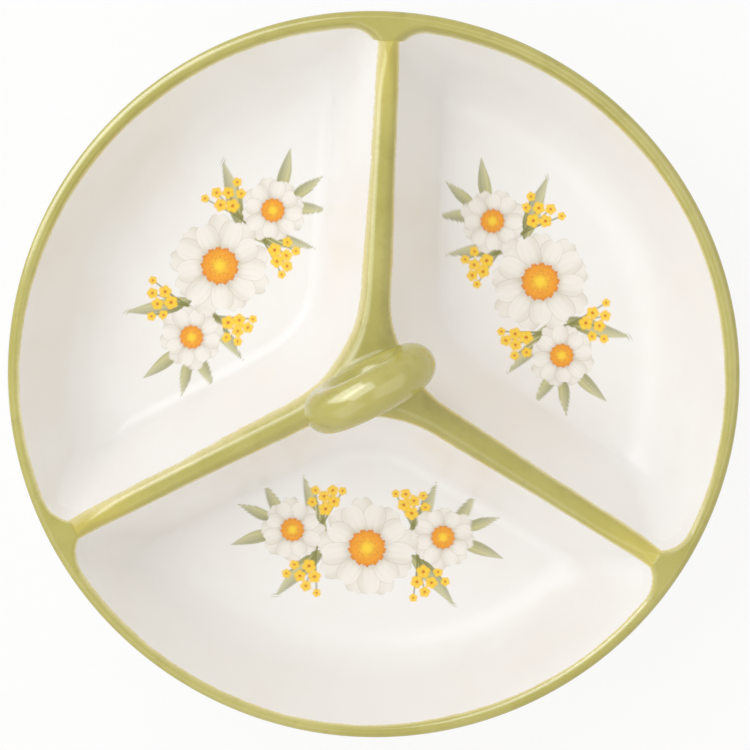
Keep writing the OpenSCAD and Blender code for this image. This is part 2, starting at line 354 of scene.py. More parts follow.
# On the crests: how far the edge lies inside the foot, its waves, the radius where the paint ends, the share by which
# the edge counts towards the left well, which widens the pale edge there as a painted highlight, and the angle that
# the gussets span
EDGE_IN, EDGE_WAVE, CREST_PAINT_R, PAINTED_HIGHLIGHT_FADE, GUSSET_NEAR = 0.30, 0.12, 123.0, 0.3, math.radians(12)


def paint_edge(dish, x, y):
    """How far points of the plan lie inside the green, in millimetres, negative on the white. Along the crests
    and the hub the edge runs a little inside the land's foot, and towards the left well it counts less, so that the
    green fades there into its pale edge colour, a painted highlight on the flanks that face the light. On the lip
    and the gussets it follows the top of the flank, and the lip's band is wider on one side of the dish."""
    a = np.arctan2(y, x)
    outer = BAND_R + sum(height * np.cos(count * a + phase) for height, count, phase in BAND_WAVES)
    along, beside = divider_frame(x, y)
    step = along - gusset_line(beside)
    band = land_gap(dish, x, y) - (outer - dish.seam_in_r)
    crest = well_distance(dish, x, y, dish.side_off - EDGE_IN + EDGE_WAVE * np.sin(along * 0.11 + 3 * a), 1e3,
                          dish.inner_corner_r, dish.outer_corner_r)
    crest = np.where(np.hypot(x, y) < CREST_PAINT_R, crest, -9.0)
    # Painted highlight: towards the left well the green fades into its pale edge colour over a wider band.
    painted_highlight_side = np.cos(a - math.radians(WELL_ANGLES["left"])) > 0.5
    crest = np.where(painted_highlight_side & (crest > 0), crest * PAINTED_HIGHLIGHT_FADE, crest)
    near = np.abs(np.arctan2(beside, along)) < GUSSET_NEAR
    return np.maximum(np.where(near & (step < 0), np.minimum(band, step), band), crest)


# Meshes, materials and pieces

def sew(rows, ring=False):
    """Vertices and faces of a closed surface from rows of points, each row closed in itself. With ring the last
    row joins the first; otherwise a point in the middle of the first and of the last row closes the ends."""
    m, n = rows.shape[:2]
    index = np.arange(m * n).reshape(m, n)
    nxt = np.roll(index, -1, axis=1)
    below = np.roll(index, -1, axis=0) if ring else index[1:]
    here = index if ring else index[:-1]
    quads = np.stack([here, nxt[:len(here)], np.roll(below, -1, axis=1), below], axis=-1).reshape(-1, 4)
    points = rows.reshape(-1, 3)
    if ring:
        return points, quads, np.zeros((0, 3), dtype=int)
    first, last = m * n, m * n + 1
    points = np.concatenate([points, rows[0].mean(axis=0)[None], rows[-1].mean(axis=0)[None]])
    fan = np.stack([np.full(n, first), nxt[0], index[0]], axis=-1)
    end = np.stack([np.full(n, last), index[-1], nxt[-1]], axis=-1)
    return points, quads, np.concatenate([fan, end])


def signed_volume(points, quads, tris):
    """Volume that the faces enclose, by the sum of the tetrahedra to the origin."""
    faces = np.concatenate([quads[:, [0, 1, 2]], quads[:, [0, 2, 3]], tris])
    a, b, c = (points[faces[:, k]] for k in range(3))
    return float((a * np.cross(b, c)).sum() / 6)


HUB_SHIFT, HUB_SPREAD = (-0.85, -0.12), 45.0
SHARP = math.radians(50)


def warp(points):
    """Points after firing: the hub has moved a little sideways, by a bell curve of the distance to the axis."""
    share = np.exp(-(points[:, 0] ** 2 + points[:, 1] ** 2) / HUB_SPREAD ** 2)[:, None]
    return points + share * np.array([*HUB_SHIFT, 0.0])


def add_piece(name, rows, finish, nodes, ring=False, floats=(), prints=()):
    """Makes a piece from rows of points in millimetres, with faces outwards and its attributes, hangs it on the
    root's empty and hides the nodes that it stands for. A finish is made when a piece first asks for it."""
    points, quads, tris = sew(rows, ring)
    if signed_volume(points, quads, tris) < 0:
        quads, tris = quads[:, ::-1], tris[:, ::-1]
    mesh = bpy.data.meshes.new(name)
    mesh.from_pydata((warp(points) * MM).tolist(), [], quads.tolist() + tris.tolist())
    mesh.polygons.foreach_set("use_smooth", np.ones(len(mesh.polygons), dtype=bool))
    for group, kind, field in ((floats, "FLOAT", "value"), (prints, "FLOAT_COLOR", "color")):
        for key, values in group:
            layer = mesh.attributes.new(key, kind, "POINT")
            layer.data.foreach_set(field, np.asarray(values(points), dtype=np.float32).ravel())
    mesh.update()
    mesh.set_sharp_from_angle(angle=SHARP)
    make, slot = FINISHES[finish]
    mesh.materials.append(bpy.data.materials.get(finish) or make(finish, bpy.context.scene.bowl_colours))
    piece = bpy.data.objects.new(name, mesh)
    bpy.context.scene.collection.objects.link(piece)
    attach(piece, "root")
    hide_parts(*nodes)
    return piece


class Nodes:
    """The node tree of a material or a world, with short calls to add and link nodes."""

    def __init__(self, owner):
        self.owner = owner
        owner.use_nodes = True
        self.tree = owner.node_tree
        self.tree.nodes.clear()

    def add(self, kind, links=None, **settings):
        """Adds a node. links gives its inputs a value or another node's output, settings its own properties."""
        node = self.tree.nodes.new("ShaderNode" + kind)
        for key, value in settings.items():
            setattr(node, key, value)
        for key, value in (links or {}).items():
            self.put(node.inputs[key], value)
        return node

    def put(self, socket, value):
        """Links another node's output to an input, or gives the input a value."""
        if hasattr(value, "is_linked"):
            self.tree.links.new(value, socket)
        else:
            socket.default_value = value

    def noise(self, coords, scale, detail=2.0, roughness=0.5):
        """Noise from 0 to 1 at a number of waves per metre."""
        return self.add("TexNoise", {"Vector": coords, "Scale": scale, "Detail": detail,
                                     "Roughness": roughness}).outputs["Fac"]

    def spread(self, value, low, high, to_low=0.0, to_high=1.0, kind="SMOOTHSTEP"):
        """value eased from low..high to to_low..to_high."""
        return self.add("MapRange", {"Value": value, "From Min": low, "From Max": high, "To Min": to_low,
                                     "To Max": to_high}, interpolation_type=kind).outputs["Result"]

    def math(self, kind, a, b):
        """a and b joined by one operation."""
        return self.add("Math", {0: a, 1: b}, operation=kind).outputs[0]

    def mix(self, share, a, b, kind="MIX"):
        """Colour a turning into b, or into what kind makes of a and b, as share goes from 0 to 1."""
        node = self.add("Mix", {0: share}, data_type="RGBA", blend_type=kind)
        for key, value in ((6, a), (7, b)):
            self.put(node.inputs[key], value if hasattr(value, "is_linked") else (*value, 1.0))
        return node.outputs[2]

    def attribute(self, name, output="Fac"):
        """A mesh attribute."""
        return self.add("Attribute", attribute_name=name).outputs[output]

    def surface(self, colour, roughness, normal, **values):
        """The shader and the material's output."""
        shader = self.add("BsdfPrincipled", {"Base Color": colour, "Roughness": roughness, "Normal": normal,
                                             **values})
        self.add("OutputMaterial", {"Surface": shader.outputs[0]})
        return self.owner

    def seen(self):
        """1 for rays that show the surface in the picture, also by a gloss or through glass, 0 for other light."""
        path = self.add("LightPath").outputs
        either = self.math("MAXIMUM", path["Is Camera Ray"], path["Is Glossy Ray"])
        return self.math("MAXIMUM", either, path["Is Transmission Ray"])


def between(a, b, share):
    """A colour between a and b."""
    return tuple((1 - share) * p + share * q for p, q in zip(a, b))


def glaze_ripple(nodes, coords):
    """Normal of a fired glaze: broad waves and a fine orange peel."""
    broad = nodes.add("Bump", {"Strength": 0.5, "Distance": 0.0012, "Height": nodes.noise(coords, 20, 1.0)})
    fine = nodes.add("Bump", {"Strength": 0.35, "Distance": 0.00005, "Height": nodes.noise(coords, 420, 1.0),
                              "Normal": broad.outputs[0]})
    return fine.outputs[0]


def white_tone(nodes, coords, colours):
    """The white glaze, a little warmer where it lies thicker."""
    cloud = nodes.spread(nodes.noise(coords, 26, 3.0), 0.38, 0.72)
    return nodes.mix(cloud, colours.white, between(colours.white, colours.white_warm, 0.4))


GLAZE_COAT = {"IOR": 1.5, "Coat Weight": 0.2, "Coat Roughness": 0.05, "Coat IOR": 1.5}


def white_gloss(nodes, coords):
    """Roughness of the white glaze, a soft sheen that varies in patches."""
    return nodes.spread(nodes.noise(coords, 60, 2.0), 0.3, 0.7, 0.30, 0.38)


def white_glaze(name, colours):
    """White glaze, in the wells over a print that the mesh carries as a colour with coverage."""
    nodes = Nodes(bpy.data.materials.new(name))
    coords = nodes.add("TexCoord").outputs["Object"]
    tone = white_tone(nodes, coords, colours)
    if name == "fired_white_printed":
        ground = nodes.mix(nodes.attribute("print", "Alpha"), tone, (0.0, 0.0, 0.0))
        tone = nodes.mix(1.0, ground, nodes.attribute("print", "Color"), "ADD")
    return nodes.surface(tone, white_gloss(nodes, coords), glaze_ripple(nodes, coords), **GLAZE_COAT)


def green_glaze(name, colours):
    """Green glaze that runs out on the white where the attribute edge falls below zero, paler along that edge,
    with clouds and fine streaks of thinner and thicker glaze. Where the shading attribute is above zero it is darker,
    a painted shade, and where it is below it is lighter and more yellow, a painted light."""
    nodes = Nodes(bpy.data.materials.new(name))
    coords = nodes.add("TexCoord").outputs["Object"]
    wander = nodes.math("MULTIPLY", nodes.math("SUBTRACT", nodes.noise(coords, 110, 2.0), 0.5), 0.5)
    fray = nodes.math("MULTIPLY", nodes.math("SUBTRACT", nodes.noise(coords, 700, 1.0), 0.5), 0.3)
    edge = nodes.math("ADD", nodes.attribute("edge"), nodes.math("ADD", wander, fray))
    cover = nodes.spread(edge, -0.22, 0.16)
    thin = nodes.spread(edge, 0.0, 1.1, 0.75, 0.0)
    cloud = nodes.spread(nodes.noise(coords, 34, 4.0, 0.6), 0.32, 0.70)
    tone = nodes.mix(cloud, colours.green, between(colours.green, colours.green_light, 0.5))
    vein = nodes.spread(nodes.noise(coords, 150, 3.0, 0.6), 0.50, 0.80, 0.0, 0.35)
    tone = nodes.mix(vein, tone, colours.green_dark)
    # Painted shade where the shading attribute is above zero, painted light where it is below.
    pool = nodes.attribute("pool")
    tone = nodes.mix(nodes.spread(pool, 0.0, 1.0, kind="LINEAR"), tone, colours.green_dark)
    tone = nodes.mix(nodes.spread(pool, 0.0, -1.0, kind="LINEAR"), tone, colours.green_warm)
    tone = nodes.mix(thin, tone, colours.green_edge)
    tone = nodes.mix(cover, white_tone(nodes, coords, colours), tone)
    gloss = nodes.spread(nodes.noise(coords, 60, 2.0), 0.3, 0.7, 0.14, 0.21)
    bare = white_gloss(nodes, coords)
    rough = nodes.math("ADD", bare, nodes.math("MULTIPLY", cover, nodes.math("SUBTRACT", gloss, bare)))
    return nodes.surface(tone, rough, glaze_ripple(nodes, coords), **{**GLAZE_COAT, "IOR": 1.65})


def bare_clay(name, colours):
    """Rough fired clay with fine darker specks."""
    nodes = Nodes(bpy.data.materials.new(name))
    coords = nodes.add("TexCoord").outputs["Object"]
    speck = nodes.spread(nodes.noise(coords, 900, 2.0), 0.60, 0.72, 0.0, 0.6)
    tone = nodes.mix(nodes.spread(nodes.noise(coords, 90, 3.0), 0.3, 0.7, 0.0, 0.35), colours.clay,
                     colours.clay_dark)
    tone = nodes.mix(speck, tone, colours.clay_dark)
    grain = nodes.add("Bump", {"Strength": 0.6, "Distance": 0.0002, "Height": nodes.noise(coords, 1400, 3.0)})
    return nodes.surface(tone, 0.85, grain.outputs[0], IOR=1.45)


# Finishes by the material's name, with the slot that they come from
FINISHES = {"fired_white": (white_glaze, "white_glaze"), "fired_white_printed": (white_glaze, "white_glaze"),
            "fired_green": (green_glaze, "green_glaze"), "fired_clay": (bare_clay, "bare_clay")}


# The print in the wells

class Canvas:
    """Premultiplied colour and coverage over a list of points, painted over one shape at a time."""

    def __init__(self, x, y):
        self.x, self.y = x, y
        self.ink = np.zeros((len(x), 3))
        self.cover = np.zeros(len(x))

    def lay(self, tone, share):
        """Paints tone, one colour or one per point, at coverage share."""
        share = np.clip(share, 0, 1)[:, None]
        self.ink = self.ink * (1 - share) + np.asarray(tone) * share
        self.cover = self.cover * (1 - share[:, 0]) + share[:, 0]

    def local(self, x, y, direction):
        """Coordinates along and beside a direction from a point."""
        c, s = math.cos(direction), math.sin(direction)
        dx, dy = self.x - x, self.y - y
        return dx * c + dy * s, dy * c - dx * s


def blend(a, b, share):
    """Colours between a and b, one for each share."""
    share = np.clip(share, 0, 1)[:, None]
    return np.asarray(a) * (1 - share) + np.asarray(b) * share


def soft_edge(inside, width):
    """Coverage of a shape at a distance inside its edge, eased over a width."""
    return smooth(inside / width + 0.5)


def paint_leaf(canvas, x, y, direction, size, width, bend, colours):
    """A long pointed leaf: half width width sin(pi t^0.7) at share t of its length, bent sideways by bend t^2, dark
    on one side of the middle vein, with finer veins beside it."""
    u, v = canvas.local(x, y, direction)
    t = np.clip(u / size, 0, 1)
    v = v - bend * t * t
    half = width * np.sin(math.pi * t ** 0.7)
    inside = soft_edge(half - np.abs(v), 0.5) * ((u > 0) & (u < size))
    veins = 0.5 + 0.5 * np.cos(v * 4.2 + 2 * t)
    shade = 0.55 * smooth(v / np.maximum(half, 0.1) * 1.2 + 0.4) + 0.25 * veins + 0.35 * smooth(1 - t / 0.35)
    canvas.lay(blend(colours.leaf, colours.leaf_dark, shade), inside * (0.90 - 0.25 * t))
    rim = smooth(1 - np.abs(half - np.abs(v)) / 0.4) * inside
    canvas.lay(colours.leaf_dark, rim * 0.45)


def paint_stem(canvas, points, width, tone):
    """A line through points."""
    best = np.full(len(canvas.x), 1e9)
    for (ax, ay), (bx, by) in zip(points[:-1], points[1:]):
        dx, dy = bx - ax, by - ay
        t = np.clip(((canvas.x - ax) * dx + (canvas.y - ay) * dy) / (dx * dx + dy * dy), 0, 1)
        best = np.minimum(best, np.hypot(canvas.x - ax - t * dx, canvas.y - ay - t * dy))
    canvas.lay(tone, soft_edge(width / 2 - best, 0.35) * 0.8)


def paint_flower(canvas, x, y, radius, petals, turn, colours):
    """A round flower of two whorls of broad petals, half width t^0.6 (1 - t^5)^0.5 at share t of their length, with a
    shaded foot, faint veins and a thin outline, round a domed heart."""
    for whorl, (reach, shift) in enumerate(((1.0, 0.5), (0.90, 0.0))):
        for k in range(petals):
            u, v = canvas.local(x, y, turn + (k + shift + 0.08 * math.sin(5.1 * k)) * 2 * math.pi / petals)
            size = radius * reach * (1 + 0.05 * math.sin(3.7 * k + whorl))
            width = 2.75 * radius / petals
            t = np.clip(u / size + 0.05 * smooth(1 - np.abs(v) / (0.35 * width)), 0, 1)
            half = width * t ** 0.6 * np.sqrt(np.maximum(1 - t ** 5, 0))
            inside = soft_edge(half - np.abs(v), 0.5) * (u > 0) * (t < 1)
            veins = (0.5 + 0.5 * np.cos(v * 14 / width)) ** 3 * smooth(t / 0.3) * (1 - t)
            side = smooth(v / np.maximum(half, 0.1) * (1 if k % 2 else -1) * 0.8 + 0.1)
            shade = 0.75 * smooth(1.15 - 1.7 * t) + 0.30 * veins + 0.35 * side + 0.12 * (whorl == 0)
            canvas.lay(blend(colours.petal, colours.petal_shade, shade), inside * 0.94)
            rim = smooth(1 - np.abs(half - np.abs(v)) / 0.45) * inside
            canvas.lay(colours.petal_line, rim * 0.42)
    dx, dy = canvas.x - x, canvas.y - y
    r, a = np.hypot(dx, dy) / (0.36 * radius), np.arctan2(dy, dx)
    frill = 1 + 0.05 * np.sin(13 * a + 1.0) + 0.03 * np.sin(29 * a)
    canvas.lay(colours.petal_shade, 0.5 * smooth((1.35 - r) / 0.4))
    grain = 0.5 + 0.5 * np.sin(2.9 * dx + 1.4 * np.sin(2.3 * dy)) * np.sin(2.7 * dy + 1.1 * np.sin(1.9 * dx))
    heart = blend(colours.floret, colours.heart, smooth(r * 1.6 - 0.15))
    dark = 0.75 * smooth((r - 0.66) / 0.4) * (0.6 + 0.4 * grain) + 0.45 * grain * smooth(1 - np.abs(r - 0.5) / 0.4)
    heart = heart + (np.asarray(colours.heart_dark) - heart) * np.clip(dark, 0, 1)[:, None]
    canvas.lay(heart, soft_edge((frill - r) * 0.36 * radius, 0.5))


def paint_floret(canvas, x, y, radius, turn, colours):
    """A tiny flower of five round petals."""
    for k in range(5):
        a = turn + k * 2 * math.pi / 5
        r = np.hypot(canvas.x - x - 0.56 * radius * math.cos(a), canvas.y - y - 0.56 * radius * math.sin(a))
        canvas.lay(blend(colours.floret, colours.heart, smooth(r / radius * 1.8 - 0.3) * 0.75),
                   soft_edge(0.48 * radius - r, 0.4) * 0.95)
    r = np.hypot(canvas.x - x, canvas.y - y)
    canvas.lay(colours.heart_dark, soft_edge(0.24 * radius - r, 0.35) * 0.8)


# Places are a radius from the dish's axis and degrees from the well's middle line. After them flowers have a size, a
# number of petals and a turn, and leaves a lean, a length, a half width and a bend. Sprays stand towards the wall,
# +1, and towards the hub, -1.
MAIN_FLOWER, SIDE_FLOWER = (67.0, 0.0, 18.5, 9, 0.1), (67.5, 24.0, 11.8, 8, 0.35)
SPRAY_FOOT = {+1: (70.0, 15.0), -1: (64.0, 16.0)}
SPRAY = {+1: ((77.6, 15.6), (80.8, 13.4), (82.2, 17.0), (85.0, 14.8), (79.0, 19.4), (83.2, 20.4), (86.4, 11.8)),
         -1: ((55.6, 16.4), (52.0, 14.2), (51.4, 18.6), (48.2, 16.0), (55.0, 22.0), (50.6, 22.8), (47.4, 11.8))}
LEAVES = ((70.5, 13.0, 0.95, 25.0, 2.8, 2.5), (65.5, 13.5, -0.85, 24.0, 2.7, -2.5),
          (71.5, 28.0, 0.72, 17.0, 2.3, 1.5), (65.5, 28.0, -0.45, 15.0, 2.2, -1.5),
          (68.0, 31.0, 0.12, 13.5, 2.0, 0.5))
STEM_W, FLORET_R, FLORET_LESS = 0.55, 2.5, 0.16


def paint_garland(x, y, colours):
    """A symmetrical garland on the floor of a well that opens along +X: one large flower, a smaller one on each
    side, leaves and sprays of florets between them."""
    canvas = Canvas(x, y)

    def spot(r, degrees, side):
        a = math.radians(side * degrees)
        return r * math.cos(a), r * math.sin(a)

    def flower(r, degrees, size, petals, turn, side):
        paint_flower(canvas, *spot(r, degrees, side), size, petals, turn * side, colours)

    for side in (-1, 1):
        for r, degrees, lean, size, width, bend in LEAVES:
            out = math.radians(side * degrees) + side * (math.pi / 2 - lean)
            paint_leaf(canvas, *spot(r, degrees, side), out, size, width, -side * bend, colours)
        for over, florets in SPRAY.items():
            foot_r, foot_degrees = SPRAY_FOOT[over]
            foot = spot(foot_r, foot_degrees, side)
            for r, degrees in florets:
                bend = spot((r + 2 * foot_r) / 3, (degrees + 3 * foot_degrees) / 4, side)
                paint_stem(canvas, [spot(r, degrees, side), bend, foot], STEM_W, colours.leaf_dark)
            for k, (r, degrees) in enumerate(florets):
                paint_floret(canvas, *spot(r, degrees, side), FLORET_R - FLORET_LESS * k, r + side, colours)
        flower(*SIDE_FLOWER, side)
    flower(*MAIN_FLOWER, 1)
    return np.concatenate([canvas.ink, canvas.cover[:, None]], axis=1)


# Operators: one for each piece or group of like pieces

def revolve(section, steps):
    """Rows of a section of (radius, height) carried round the dish's axis."""
    a = np.arange(steps) * 2 * math.pi / steps
    r, z = section[:, 0][:, None], section[:, 1][:, None]
    return np.stack([r * np.cos(a), r * np.sin(a), z + 0 * a], axis=-1)


def even(value):
    """An attribute with one value everywhere."""
    return lambda points: np.full(len(points), value)


def land_edge(dish):
    """The attribute edge of pieces that are land."""
    return lambda points: paint_edge(dish, points[:, 0], points[:, 1])


# How far the hidden faces of the wall, the lip and the land reach behind or under the faces that they meet
BEHIND, LIP_UNDER, LAND_UNDER = 1.2, 0.6, 0.5
# Steps round the axis, for plain pieces and for those with a painted edge
ROUND_N, ROUND_FINE_N = 360, 720


class BOWL_OT_round_wall(Operator):
    """Round wall outside the wells"""
    bl_idname = "bowl.round_wall"
    bl_label = "Round wall"

    def execute(self, context):
        """A closed section carried round the axis: the wells' wall profile moved out by the wall's thickness
        along its normal, and back inside behind the wells."""
        dish = Dish(context.scene.bowl_sizes)
        inset, rise, a = wall_profile(dish, dish.floor_fillet_r, 20, 12)
        inside_r = dish.seam_in_r - inset
        thick = dish.wall_t + (dish.floor_t - dish.wall_t) * (1 - a / dish.wall_slope) ** 2
        outer = np.stack([inside_r + thick * np.sin(a), dish.floor_z + rise - thick * np.cos(a)], -1)
        outer = outer[outer[:, 1] < dish.seam_z - 0.2]
        rim = np.array([[dish.seam_in_r + dish.lip_w, dish.seam_z], [dish.seam_in_r + BEHIND, dish.seam_z]])
        inner = np.stack([inside_r + BEHIND, dish.floor_z + rise], axis=-1)[-2::-4]
        inside = dish.floor_in_r - BEHIND - 0.5
        start = np.array([[inside, dish.floor_z - 1.0], [inside, dish.foot_h]])
        section = np.concatenate([outer, rim, inner, start])
        add_piece("round_wall", revolve(section, ROUND_N), "fired_white", ["bowl_shell"], ring=True)
        return {"FINISHED"}


# Middle of a well's floor from the dish's axis, rings of points on it, steps of the fillet and of the slope, and the
# height up to which the print may reach
WELL_MIDDLE, FLOOR_RINGS, FILLET_STEPS, SLOPE_STEPS, PRINT_RISE = 70.0, 140, 22, 10, 1.5
# Levels of the fillet and the slope that the outside has too, and the rings under the floor as shares of its plan
OUTSIDE_LEVELS, UNDER_RINGS = [0, 3, 6, 9, 12, 15, 18, 21, 22, 25, 28, 32], (0.8, 0.6, 0.4, 0.2)


class BOWL_OT_wells(Operator):
    """Three wells with their printed floors"""
    bl_idname = "bowl.wells"
    bl_label = "Wells"

    def execute(self, context):
        """Levels of the well's plan: floor rings that shrink to a point, the fillet and the wall up to the seam,
        then the same levels moved out by the wall's thickness, down to the underside. The fillet is narrow along
        the dividers and wide along the round wall, and goes over from one to the other in the corners."""
        dish = Dish(context.scene.bowl_sizes)

        def levels(plan, z):
            return np.concatenate([plan, np.broadcast_to(np.reshape(z, (-1, 1, 1)), plan.shape[:2] + (1,))], axis=2)

        def inside_with(radius):
            inset, rise, _ = wall_profile(dish, radius, FILLET_STEPS, SLOPE_STEPS)
            plan = well_plan(dish.side_off + inset, dish.side_half, dish.seam_in_r - inset,
                             dish.inner_corner_r - inset, np.full(len(inset), dish.outer_corner_r))
            return levels(plan, dish.floor_z + rise)

        outer_n, corner_n, side_n, inner_n = WELL_COUNTS
        ease = smooth(np.arange(corner_n) / corner_n)
        wide = np.concatenate([np.ones(outer_n), 1 - ease, np.zeros(2 * side_n + inner_n), ease])[:, None]
        narrow = inside_with(dish.side_fillet_r)
        inside = narrow + (inside_with(dish.wall_fillet_r) - narrow) * wide
        middle = np.array([WELL_MIDDLE, 0.0, dish.floor_z])
        shrink = (np.arange(1, FLOOR_RINGS) / FLOOR_RINGS)[:, None, None]
        floor = middle + (inside[0] - middle) * shrink
        profile = wall_profile(dish, dish.floor_fillet_r, FILLET_STEPS, SLOPE_STEPS)
        inset, rise, a = (part[OUTSIDE_LEVELS] for part in profile)
        grow, thick = dish.wall_t * np.sin(a), dish.wall_t + (dish.floor_t - dish.wall_t) * (a == 0)
        outside = levels(well_plan(dish.side_off + inset - grow, dish.side_half, dish.seam_in_r - inset + 0.4 * grow,
                                   dish.inner_corner_r - inset + grow, dish.outer_corner_r + grow),
                         dish.floor_z + rise - thick * np.cos(a))
        brim = levels(well_plan(dish.side_off - dish.lip_w, dish.side_half, dish.seam_in_r + 2.0,
                                dish.inner_corner_r + dish.lip_w, dish.outer_corner_r + dish.lip_w), dish.seam_z)
        base = np.array([WELL_MIDDLE, 0.0, dish.foot_h])
        under = base + (outside[0] - base) * np.array(UNDER_RINGS)[:, None, None]
        rows = np.concatenate([floor, inside, brim, outside[::-1], under])

        def garland(points):
            flat = (points[:, 2] > dish.floor_z - 0.01) & (points[:, 2] < dish.floor_z + PRINT_RISE)
            paint = np.zeros((len(points), 4))
            paint[flat] = paint_garland(points[flat, 0], points[flat, 1], context.scene.bowl_colours)
            return paint

        prints = garland(sew(rows)[0])
        for name, degrees in WELL_ANGLES.items():
            add_piece("well_" + name, turned(rows, degrees), "fired_white_printed", [WELL_REPLACES[name]],
                      prints=[("print", lambda points: prints)])
        return {"FINISHED"}


class BOWL_OT_hub_boss(Operator):
    """Boss under the hub that carries the ring"""
    bl_idname = "bowl.hub_boss"
    bl_label = "Hub boss"

    def execute(self, context):
        """Rays from the axis at each level: a short cylinder with a rounded lower edge, cut back where it would
        come within a margin of a well's inside."""
        dish = Dish(context.scene.bowl_sizes)
        low, edge, margin = dish.seam_z - dish.boss_h, 2.5, 1.5
        a = np.linspace(-math.pi / 2, 0, 9)
        section = np.concatenate([
            [[dish.boss_r * 0.3, low], [dish.boss_r * 0.6, low]],
            np.stack([dish.boss_r - edge + edge * np.cos(a), low + edge + edge * np.sin(a)], axis=-1),
            [[dish.boss_r, dish.seam_z], [dish.boss_r * 0.4, dish.seam_z]]])
        inset = ((dish.seam_z - section[:, 1]) / dish.slope_tan)[:, None]
        turn = np.arange(ROUND_N) * 2 * math.pi / ROUND_N
        reach = land_reach(dish, turn, section[:, :1] + 0 * turn, inset, margin)
        rows = np.stack([reach * np.cos(turn), reach * np.sin(turn), section[:, 1:] + 0 * turn], axis=-1)
        add_piece("hub_boss", rows, "fired_white", ["hub_core"])
        return {"FINISHED"}


# Points round the lip's bead and up each flank
BEAD_N, FLANK_N = 40, 12


class BOWL_OT_lip(Operator):
    """Rounded coloured lip on the wall"""
    bl_idname = "bowl.lip"
    bl_label = "Lip"

    def execute(self, context):
        """A closed section carried round the axis: both faces of the wall go up along its slope to a round bead
        that is tangent to them."""
        dish = Dish(context.scene.bowl_sizes)
        out = np.linspace(math.pi / 2 + dish.wall_slope, dish.wall_slope - math.pi / 2, BEAD_N)
        bead = np.stack([dish.bead_x + dish.bead_r * np.cos(out), dish.bead_z + dish.bead_r * np.sin(out)], -1)
        t = np.linspace(0, 1, FLANK_N)[:, None]
        foot_in = np.array([dish.seam_in_r, dish.seam_z])
        foot_out = np.array([dish.seam_in_r + dish.lip_w, dish.seam_z])
        section = np.concatenate([
            foot_in + (bead[0] - foot_in) * t[:-1], bead, bead[-1] + (foot_out - bead[-1]) * t[1:],
            [foot_out + [-1.0, -LIP_UNDER], foot_in + [BEHIND, -LIP_UNDER]]])

        def edge(points):
            r = np.hypot(points[:, 0], points[:, 1])
            outside = (points[:, 2] - dish.seam_z - 1.0) / math.sin(dish.wall_slope)
            return np.where(r > dish.bead_x, np.maximum(outside, -4), paint_edge(dish, points[:, 0], points[:, 1]))

        add_piece("lip", revolve(section, ROUND_FINE_N), "fired_green", ["rim_lip"], ring=True,
                  floats=[("edge", edge), ("pool", even(0.0))])
        return {"FINISHED"}


# Where the hub ends, how far the crests begin before that, how far a crest's end lies over the lip's surface, and how
# far before its end a crest is painted lighter and more yellow, a painted light
HUB_REACH, HUB_LAP, OVER_LIP, PAINTED_LIGHT_RUN = 45.0, 0.5, 0.02, 40.0
# Points across a crest, stations up to the wall's corner, before the step, on it, after it and on the lip
ACROSS_N, ALONG_N, BEFORE_N, STEP_N, AFTER_N, LIP_N = 73, 150, 26, 13, 25, 24


class BOWL_OT_crests(Operator):
    """Crests on the three dividers"""
    bl_idname = "bowl.crests"
    bl_label = "Crests"

    def execute(self, context):
        """Stations along a divider, each from one well's edge to the other's, at the height of the land. Past the
        wall's corner the stations end on the corner's arc and bow outwards, then follow the lip to its ridge."""
        dish = Dish(context.scene.bowl_sizes)
        across = np.linspace(-1, 1, ACROSS_N)
        x = np.linspace(HUB_REACH - HUB_LAP, dish.corner_x, ALONG_N)
        half = (dish.side_off - x * math.sin(dish.spread_angle)) / math.cos(dish.spread_angle)
        marks = np.concatenate([np.linspace(x[-1] + 0.3, GUSSET_X - 0.1, BEFORE_N),
                                np.linspace(GUSSET_X, GUSSET_X + GUSSET_RUN, STEP_N)])
        a = -np.arccos((marks - dish.corner_x) / dish.outer_corner_r)
        late = np.linspace(0, 1, AFTER_N)[1:]
        a = np.concatenate([a, a[-1] + (dish.corner_turn - a[-1]) * late])
        corner_x = dish.corner_x + dish.outer_corner_r * np.cos(a)
        corner_y = dish.corner_y + dish.outer_corner_r * np.sin(a)
        bow = np.concatenate([0 * marks, (dish.seam_in_r - corner_x[-1]) * late ** 1.5])
        r = np.linspace(dish.seam_in_r, dish.bead_x - 0.1, LIP_N)[1:]
        end_x, end_y = r * math.cos(dish.corner_turn), r * math.sin(dish.corner_turn)
        px = np.concatenate([x, corner_x, end_x])[:, None]
        py = np.concatenate([half, corner_y, end_y])[:, None] * across
        px = px + np.concatenate([0 * x, bow, r - end_x])[:, None] * (1 - across ** 2)
        px = px - GUSSET_BOW * (1 - across ** 2) * np.exp(-((px - GUSSET_X) / 2.0) ** 2)
        top = np.stack([px, py, 0 * px], axis=-1)
        tilt = turned(top, DIVIDER_ANGLES["back"])
        top[..., 2] = land_height(dish, tilt[..., 0], tilt[..., 1]) + OVER_LIP * smooth((px - dish.corner_x) / 3)
        low = top[:, ::-6].copy()
        low[..., 1] *= 0.5
        low[..., 2] = dish.seam_z - LAND_UNDER
        rows = np.concatenate([top, low], axis=1)

        # Painted light: a crest's top turns lighter and more yellow over the run before its step up to the lip.
        def thin(points):
            along, beside = divider_frame(points[:, 0], points[:, 1])
            before = gusset_line(beside) - along
            return -0.8 * smooth(1 - before / PAINTED_LIGHT_RUN) * smooth(before / GUSSET_RUN + 1)

        for name, degrees in DIVIDER_ANGLES.items():
            add_piece("crest_top_" + name, turned(rows, degrees), "fired_green", ["crest_" + name],
                      floats=[("edge", land_edge(dish)), ("pool", thin)])
        return {"FINISHED"}


